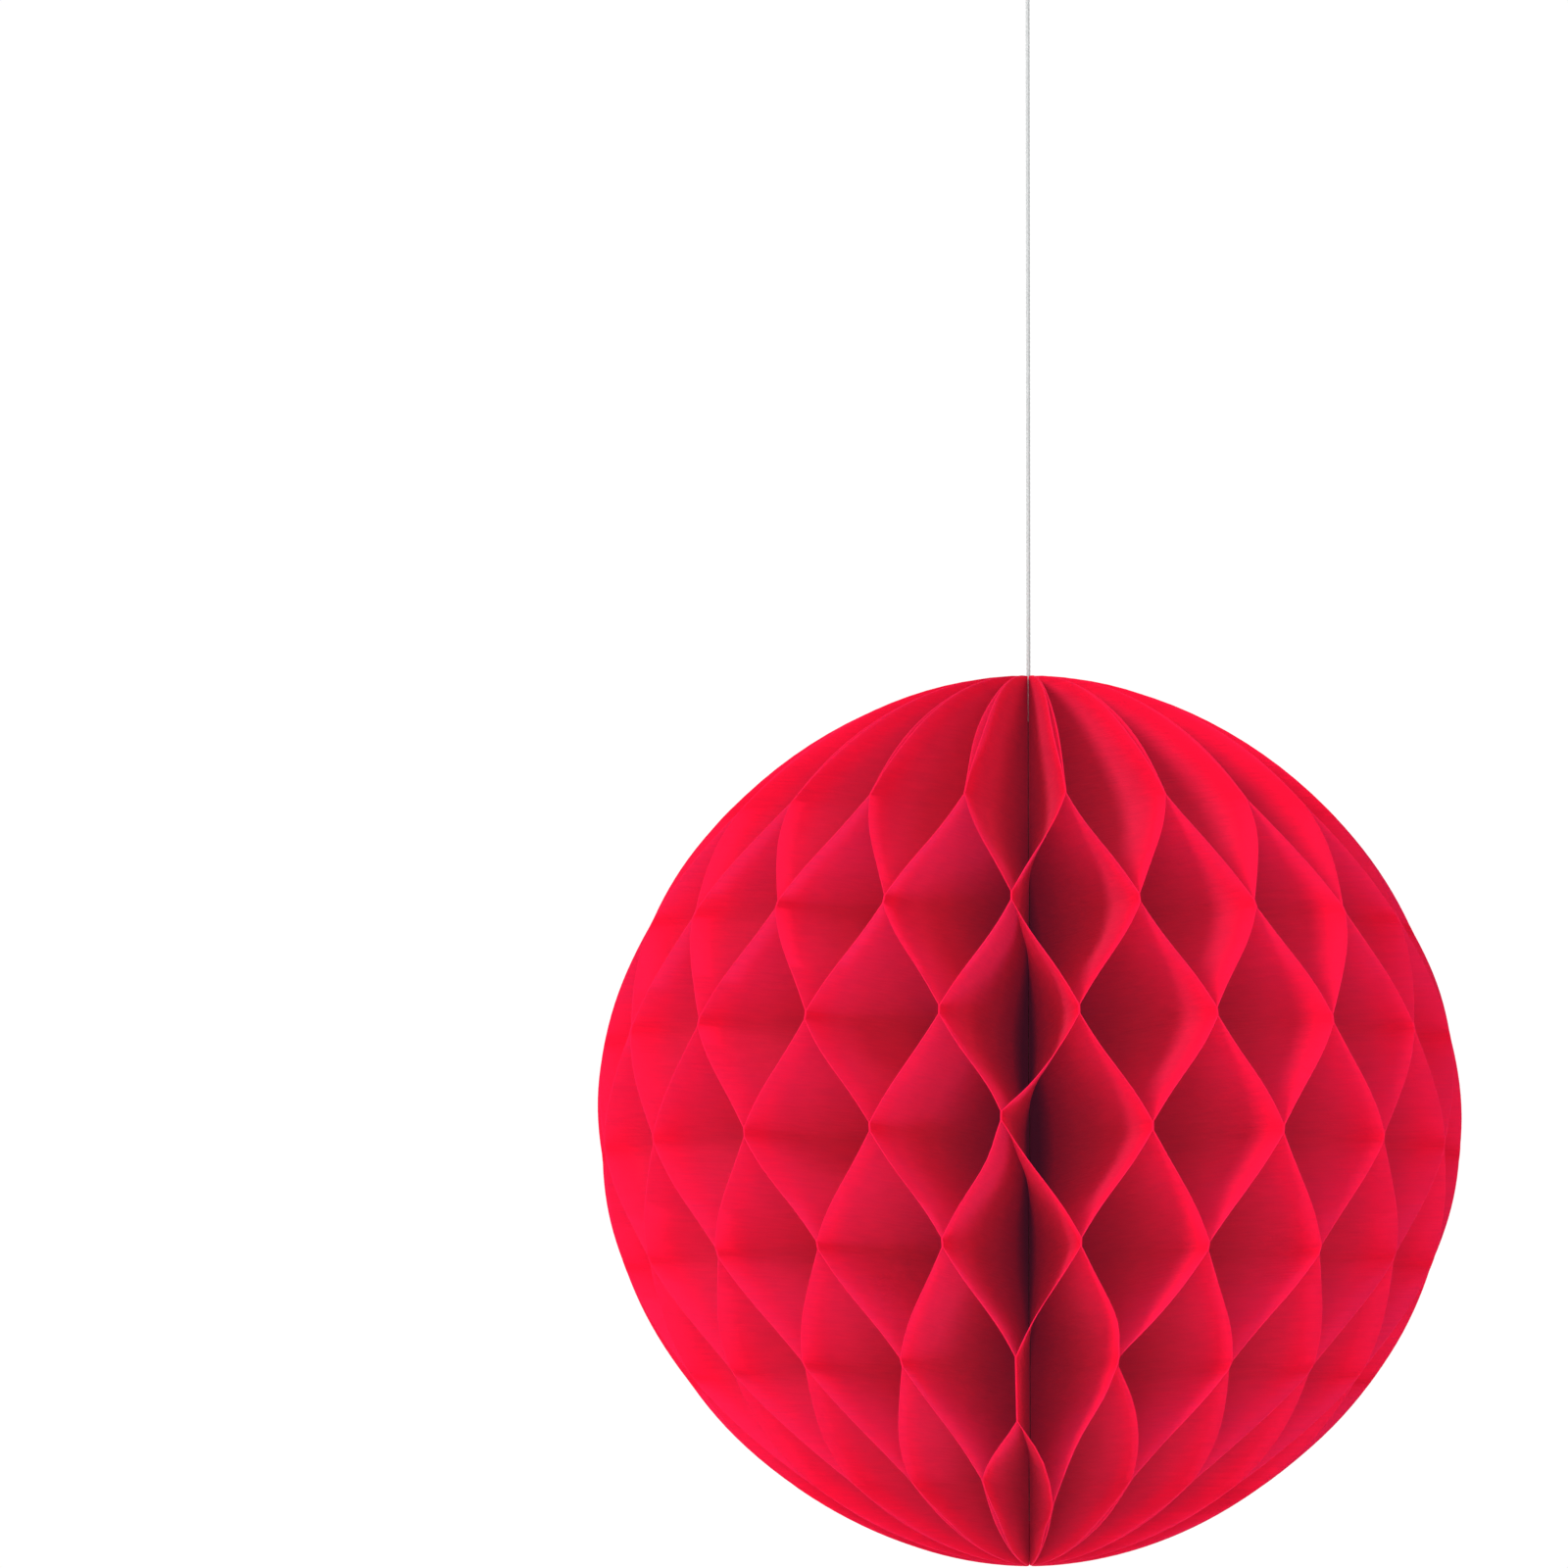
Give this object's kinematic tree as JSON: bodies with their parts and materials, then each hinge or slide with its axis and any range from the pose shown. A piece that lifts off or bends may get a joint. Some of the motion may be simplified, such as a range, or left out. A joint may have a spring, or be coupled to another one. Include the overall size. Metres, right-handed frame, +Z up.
{
  "type": "paper honeycomb ball",
  "caption": "Round hanging party decoration of red tissue leaves glued into honeycomb cells, which fans open from a flat half-round stack and hangs on a thread.",
  "frame": {"origin": "the point where a hook or nail carries the top of the hanging loop", "axes": "+Z up along the thread and the ball's spine; the seam where the two end cards meet is on the +Y side and the front is -Y"},
  "size_m": [0.1946, 0.1941, 0.3864],
  "materials": {
    "tissue": "matte",
    "end_card": "matte",
    "hinge_strip": "matte",
    "tape": "matte",
    "binding": "matte",
    "thread": "matte"
  },
  "bodies": {
    "hanger": {"hanging_loop": "thread"},
    "knot": {"loop_knot": "thread"},
    "thread": {"hanging_thread": "thread"},
    "spine": {"spine_binding": "binding", "spine_tie": "thread", "end_card_fixed": "end_card", "card_hinge_fixed": "hinge_strip", "seam_tape_upper": "tape", "seam_tape_lower": "tape"},
    "free_end": {"end_card_free": "end_card", "card_hinge_free": "hinge_strip"},
    "leaf_01_body": {"leaf_01": "tissue"},
    "leaf_02_body": {"leaf_02": "tissue"},
    "leaf_03_body": {"leaf_03": "tissue"},
    "leaf_04_body": {"leaf_04": "tissue"},
    "leaf_05_body": {"leaf_05": "tissue"},
    "leaf_06_body": {"leaf_06": "tissue"},
    "leaf_07_body": {"leaf_07": "tissue"},
    "leaf_08_body": {"leaf_08": "tissue"},
    "leaf_09_body": {"leaf_09": "tissue"},
    "leaf_10_body": {"leaf_10": "tissue"},
    "leaf_11_body": {"leaf_11": "tissue"},
    "leaf_12_body": {"leaf_12": "tissue"},
    "leaf_13_body": {"leaf_13": "tissue"},
    "leaf_14_body": {"leaf_14": "tissue"},
    "leaf_15_body": {"leaf_15": "tissue"},
    "leaf_16_body": {"leaf_16": "tissue"},
    "leaf_17_body": {"leaf_17": "tissue"},
    "leaf_18_body": {"leaf_18": "tissue"},
    "leaf_19_body": {"leaf_19": "tissue"},
    "leaf_20_body": {"leaf_20": "tissue"},
    "leaf_21_body": {"leaf_21": "tissue"},
    "leaf_22_body": {"leaf_22": "tissue"},
    "leaf_23_body": {"leaf_23": "tissue"},
    "leaf_24_body": {"leaf_24": "tissue"},
    "leaf_25_body": {"leaf_25": "tissue"},
    "leaf_26_body": {"leaf_26": "tissue"},
    "leaf_27_body": {"leaf_27": "tissue"},
    "leaf_28_body": {"leaf_28": "tissue"},
    "leaf_29_body": {"leaf_29": "tissue"},
    "leaf_30_body": {"leaf_30": "tissue"},
    "leaf_31_body": {"leaf_31": "tissue"},
    "leaf_32_body": {"leaf_32": "tissue"},
    "leaf_33_body": {"leaf_33": "tissue"},
    "leaf_34_body": {"leaf_34": "tissue"},
    "leaf_35_body": {"leaf_35": "tissue"},
    "leaf_36_body": {"leaf_36": "tissue"},
    "leaf_37_body": {"leaf_37": "tissue"},
    "leaf_38_body": {"leaf_38": "tissue"}
  },
  "joints": [
    {"name": "swing_sideways", "type": "hinge", "parent": "hanger", "child": "knot", "pos_m": [0, 0, -0.02356], "axis": [0, 1, 0], "range_deg": [-30, 30]},
    {"name": "swing_forward", "type": "hinge", "parent": "knot", "child": "thread", "pos_m": [0, 0, -0.02356], "axis": [1, 0, 0], "range_deg": [-30, 30]},
    {"name": "spin", "type": "hinge", "parent": "thread", "child": "spine", "pos_m": [0, 0, -0.185], "axis": [0, 0, 1], "continuous": true},
    {"name": "fold", "type": "hinge", "parent": "spine", "child": "free_end", "pos_m": [0, 0, -0.2853], "axis": [0, 0, 1], "range_deg": [-352, 0], "deforming": ["card_hinge_free"]},
    {"name": "fan_01", "type": "hinge", "parent": "spine", "child": "leaf_01_body", "pos_m": [0, 0, -0.2853], "axis": [0, 0, 1], "range_deg": [-3.67, 0], "deforming": ["leaf_01"]},
    {"name": "fan_02", "type": "hinge", "parent": "spine", "child": "leaf_02_body", "pos_m": [0, 0, -0.2853], "axis": [0, 0, 1], "range_deg": [-12.99, 0], "deforming": ["leaf_02"]},
    {"name": "fan_03", "type": "hinge", "parent": "spine", "child": "leaf_03_body", "pos_m": [0, 0, -0.2853], "axis": [0, 0, 1], "range_deg": [-22.3, 0], "deforming": ["leaf_03"]},
    {"name": "fan_04", "type": "hinge", "parent": "spine", "child": "leaf_04_body", "pos_m": [0, 0, -0.2853], "axis": [0, 0, 1], "range_deg": [-31.62, 0], "deforming": ["leaf_04"]},
    {"name": "fan_05", "type": "hinge", "parent": "spine", "child": "leaf_05_body", "pos_m": [0, 0, -0.2853], "axis": [0, 0, 1], "range_deg": [-40.94, 0], "deforming": ["leaf_05"]},
    {"name": "fan_06", "type": "hinge", "parent": "spine", "child": "leaf_06_body", "pos_m": [0, 0, -0.2853], "axis": [0, 0, 1], "range_deg": [-50.25, 0], "deforming": ["leaf_06"]},
    {"name": "fan_07", "type": "hinge", "parent": "spine", "child": "leaf_07_body", "pos_m": [0, 0, -0.2853], "axis": [0, 0, 1], "range_deg": [-59.57, 0], "deforming": ["leaf_07"]},
    {"name": "fan_08", "type": "hinge", "parent": "spine", "child": "leaf_08_body", "pos_m": [0, 0, -0.2853], "axis": [0, 0, 1], "range_deg": [-68.88, 0], "deforming": ["leaf_08"]},
    {"name": "fan_09", "type": "hinge", "parent": "spine", "child": "leaf_09_body", "pos_m": [0, 0, -0.2853], "axis": [0, 0, 1], "range_deg": [-78.2, 0], "deforming": ["leaf_09"]},
    {"name": "fan_10", "type": "hinge", "parent": "spine", "child": "leaf_10_body", "pos_m": [0, 0, -0.2853], "axis": [0, 0, 1], "range_deg": [-87.51, 0], "deforming": ["leaf_10"]},
    {"name": "fan_11", "type": "hinge", "parent": "spine", "child": "leaf_11_body", "pos_m": [0, 0, -0.2853], "axis": [0, 0, 1], "range_deg": [-96.83, 0], "deforming": ["leaf_11"]},
    {"name": "fan_12", "type": "hinge", "parent": "spine", "child": "leaf_12_body", "pos_m": [0, 0, -0.2853], "axis": [0, 0, 1], "range_deg": [-106.15, 0], "deforming": ["leaf_12"]},
    {"name": "fan_13", "type": "hinge", "parent": "spine", "child": "leaf_13_body", "pos_m": [0, 0, -0.2853], "axis": [0, 0, 1], "range_deg": [-115.46, 0], "deforming": ["leaf_13"]},
    {"name": "fan_14", "type": "hinge", "parent": "spine", "child": "leaf_14_body", "pos_m": [0, 0, -0.2853], "axis": [0, 0, 1], "range_deg": [-124.78, 0], "deforming": ["leaf_14"]},
    {"name": "fan_15", "type": "hinge", "parent": "spine", "child": "leaf_15_body", "pos_m": [0, 0, -0.2853], "axis": [0, 0, 1], "range_deg": [-134.09, 0], "deforming": ["leaf_15"]},
    {"name": "fan_16", "type": "hinge", "parent": "spine", "child": "leaf_16_body", "pos_m": [0, 0, -0.2853], "axis": [0, 0, 1], "range_deg": [-143.41, 0], "deforming": ["leaf_16"]},
    {"name": "fan_17", "type": "hinge", "parent": "spine", "child": "leaf_17_body", "pos_m": [0, 0, -0.2853], "axis": [0, 0, 1], "range_deg": [-152.73, 0], "deforming": ["leaf_17"]},
    {"name": "fan_18", "type": "hinge", "parent": "spine", "child": "leaf_18_body", "pos_m": [0, 0, -0.2853], "axis": [0, 0, 1], "range_deg": [-162.04, 0], "deforming": ["leaf_18"]},
    {"name": "fan_19", "type": "hinge", "parent": "spine", "child": "leaf_19_body", "pos_m": [0, 0, -0.2853], "axis": [0, 0, 1], "range_deg": [-171.36, 0], "deforming": ["leaf_19"]},
    {"name": "fan_20", "type": "hinge", "parent": "spine", "child": "leaf_20_body", "pos_m": [0, 0, -0.2853], "axis": [0, 0, 1], "range_deg": [-180.67, 0], "deforming": ["leaf_20"]},
    {"name": "fan_21", "type": "hinge", "parent": "spine", "child": "leaf_21_body", "pos_m": [0, 0, -0.2853], "axis": [0, 0, 1], "range_deg": [-189.99, 0], "deforming": ["leaf_21"]},
    {"name": "fan_22", "type": "hinge", "parent": "spine", "child": "leaf_22_body", "pos_m": [0, 0, -0.2853], "axis": [0, 0, 1], "range_deg": [-199.3, 0], "deforming": ["leaf_22"]},
    {"name": "fan_23", "type": "hinge", "parent": "spine", "child": "leaf_23_body", "pos_m": [0, 0, -0.2853], "axis": [0, 0, 1], "range_deg": [-208.62, 0], "deforming": ["leaf_23"]},
    {"name": "fan_24", "type": "hinge", "parent": "spine", "child": "leaf_24_body", "pos_m": [0, 0, -0.2853], "axis": [0, 0, 1], "range_deg": [-217.94, 0], "deforming": ["leaf_24"]},
    {"name": "fan_25", "type": "hinge", "parent": "spine", "child": "leaf_25_body", "pos_m": [0, 0, -0.2853], "axis": [0, 0, 1], "range_deg": [-227.25, 0], "deforming": ["leaf_25"]},
    {"name": "fan_26", "type": "hinge", "parent": "spine", "child": "leaf_26_body", "pos_m": [0, 0, -0.2853], "axis": [0, 0, 1], "range_deg": [-236.57, 0], "deforming": ["leaf_26"]},
    {"name": "fan_27", "type": "hinge", "parent": "spine", "child": "leaf_27_body", "pos_m": [0, 0, -0.2853], "axis": [0, 0, 1], "range_deg": [-245.88, 0], "deforming": ["leaf_27"]},
    {"name": "fan_28", "type": "hinge", "parent": "spine", "child": "leaf_28_body", "pos_m": [0, 0, -0.2853], "axis": [0, 0, 1], "range_deg": [-255.2, 0], "deforming": ["leaf_28"]},
    {"name": "fan_29", "type": "hinge", "parent": "spine", "child": "leaf_29_body", "pos_m": [0, 0, -0.2853], "axis": [0, 0, 1], "range_deg": [-264.52, 0], "deforming": ["leaf_29"]},
    {"name": "fan_30", "type": "hinge", "parent": "spine", "child": "leaf_30_body", "pos_m": [0, 0, -0.2853], "axis": [0, 0, 1], "range_deg": [-273.83, 0], "deforming": ["leaf_30"]},
    {"name": "fan_31", "type": "hinge", "parent": "spine", "child": "leaf_31_body", "pos_m": [0, 0, -0.2853], "axis": [0, 0, 1], "range_deg": [-283.15, 0], "deforming": ["leaf_31"]},
    {"name": "fan_32", "type": "hinge", "parent": "spine", "child": "leaf_32_body", "pos_m": [0, 0, -0.2853], "axis": [0, 0, 1], "range_deg": [-292.46, 0], "deforming": ["leaf_32"]},
    {"name": "fan_33", "type": "hinge", "parent": "spine", "child": "leaf_33_body", "pos_m": [0, 0, -0.2853], "axis": [0, 0, 1], "range_deg": [-301.78, 0], "deforming": ["leaf_33"]},
    {"name": "fan_34", "type": "hinge", "parent": "spine", "child": "leaf_34_body", "pos_m": [0, 0, -0.2853], "axis": [0, 0, 1], "range_deg": [-311.09, 0], "deforming": ["leaf_34"]},
    {"name": "fan_35", "type": "hinge", "parent": "spine", "child": "leaf_35_body", "pos_m": [0, 0, -0.2853], "axis": [0, 0, 1], "range_deg": [-320.41, 0], "deforming": ["leaf_35"]},
    {"name": "fan_36", "type": "hinge", "parent": "spine", "child": "leaf_36_body", "pos_m": [0, 0, -0.2853], "axis": [0, 0, 1], "range_deg": [-329.73, 0], "deforming": ["leaf_36"]},
    {"name": "fan_37", "type": "hinge", "parent": "spine", "child": "leaf_37_body", "pos_m": [0, 0, -0.2853], "axis": [0, 0, 1], "range_deg": [-339.04, 0], "deforming": ["leaf_37"]},
    {"name": "fan_38", "type": "hinge", "parent": "spine", "child": "leaf_38_body", "pos_m": [0, 0, -0.2853], "axis": [0, 0, 1], "range_deg": [-348.36, 0], "deforming": ["leaf_38"]}
  ],
  "couplings": [
    {"joint": "fan_01", "follows": "fold", "ratio": 0.010392},
    {"joint": "fan_02", "follows": "fold", "ratio": 0.036857},
    {"joint": "fan_03", "follows": "fold", "ratio": 0.063322},
    {"joint": "fan_04", "follows": "fold", "ratio": 0.089788},
    {"joint": "fan_05", "follows": "fold", "ratio": 0.11625},
    {"joint": "fan_06", "follows": "fold", "ratio": 0.14272},
    {"joint": "fan_07", "follows": "fold", "ratio": 0.16918},
    {"joint": "fan_08", "follows": "fold", "ratio": 0.19565},
    {"joint": "fan_09", "follows": "fold", "ratio": 0.22211},
    {"joint": "fan_10", "follows": "fold", "ratio": 0.24858},
    {"joint": "fan_11", "follows": "fold", "ratio": 0.27504},
    {"joint": "fan_12", "follows": "fold", "ratio": 0.30151},
    {"joint": "fan_13", "follows": "fold", "ratio": 0.32798},
    {"joint": "fan_14", "follows": "fold", "ratio": 0.35444},
    {"joint": "fan_15", "follows": "fold", "ratio": 0.38091},
    {"joint": "fan_16", "follows": "fold", "ratio": 0.40737},
    {"joint": "fan_17", "follows": "fold", "ratio": 0.43384},
    {"joint": "fan_18", "follows": "fold", "ratio": 0.4603},
    {"joint": "fan_19", "follows": "fold", "ratio": 0.48677},
    {"joint": "fan_20", "follows": "fold", "ratio": 0.51323},
    {"joint": "fan_21", "follows": "fold", "ratio": 0.5397},
    {"joint": "fan_22", "follows": "fold", "ratio": 0.56616},
    {"joint": "fan_23", "follows": "fold", "ratio": 0.59263},
    {"joint": "fan_24", "follows": "fold", "ratio": 0.61909},
    {"joint": "fan_25", "follows": "fold", "ratio": 0.64556},
    {"joint": "fan_26", "follows": "fold", "ratio": 0.67202},
    {"joint": "fan_27", "follows": "fold", "ratio": 0.69849},
    {"joint": "fan_28", "follows": "fold", "ratio": 0.72496},
    {"joint": "fan_29", "follows": "fold", "ratio": 0.75142},
    {"joint": "fan_30", "follows": "fold", "ratio": 0.77789},
    {"joint": "fan_31", "follows": "fold", "ratio": 0.80435},
    {"joint": "fan_32", "follows": "fold", "ratio": 0.83082},
    {"joint": "fan_33", "follows": "fold", "ratio": 0.85728},
    {"joint": "fan_34", "follows": "fold", "ratio": 0.88375},
    {"joint": "fan_35", "follows": "fold", "ratio": 0.91021},
    {"joint": "fan_36", "follows": "fold", "ratio": 0.93668},
    {"joint": "fan_37", "follows": "fold", "ratio": 0.96314},
    {"joint": "fan_38", "follows": "fold", "ratio": 0.98961}
  ]
}
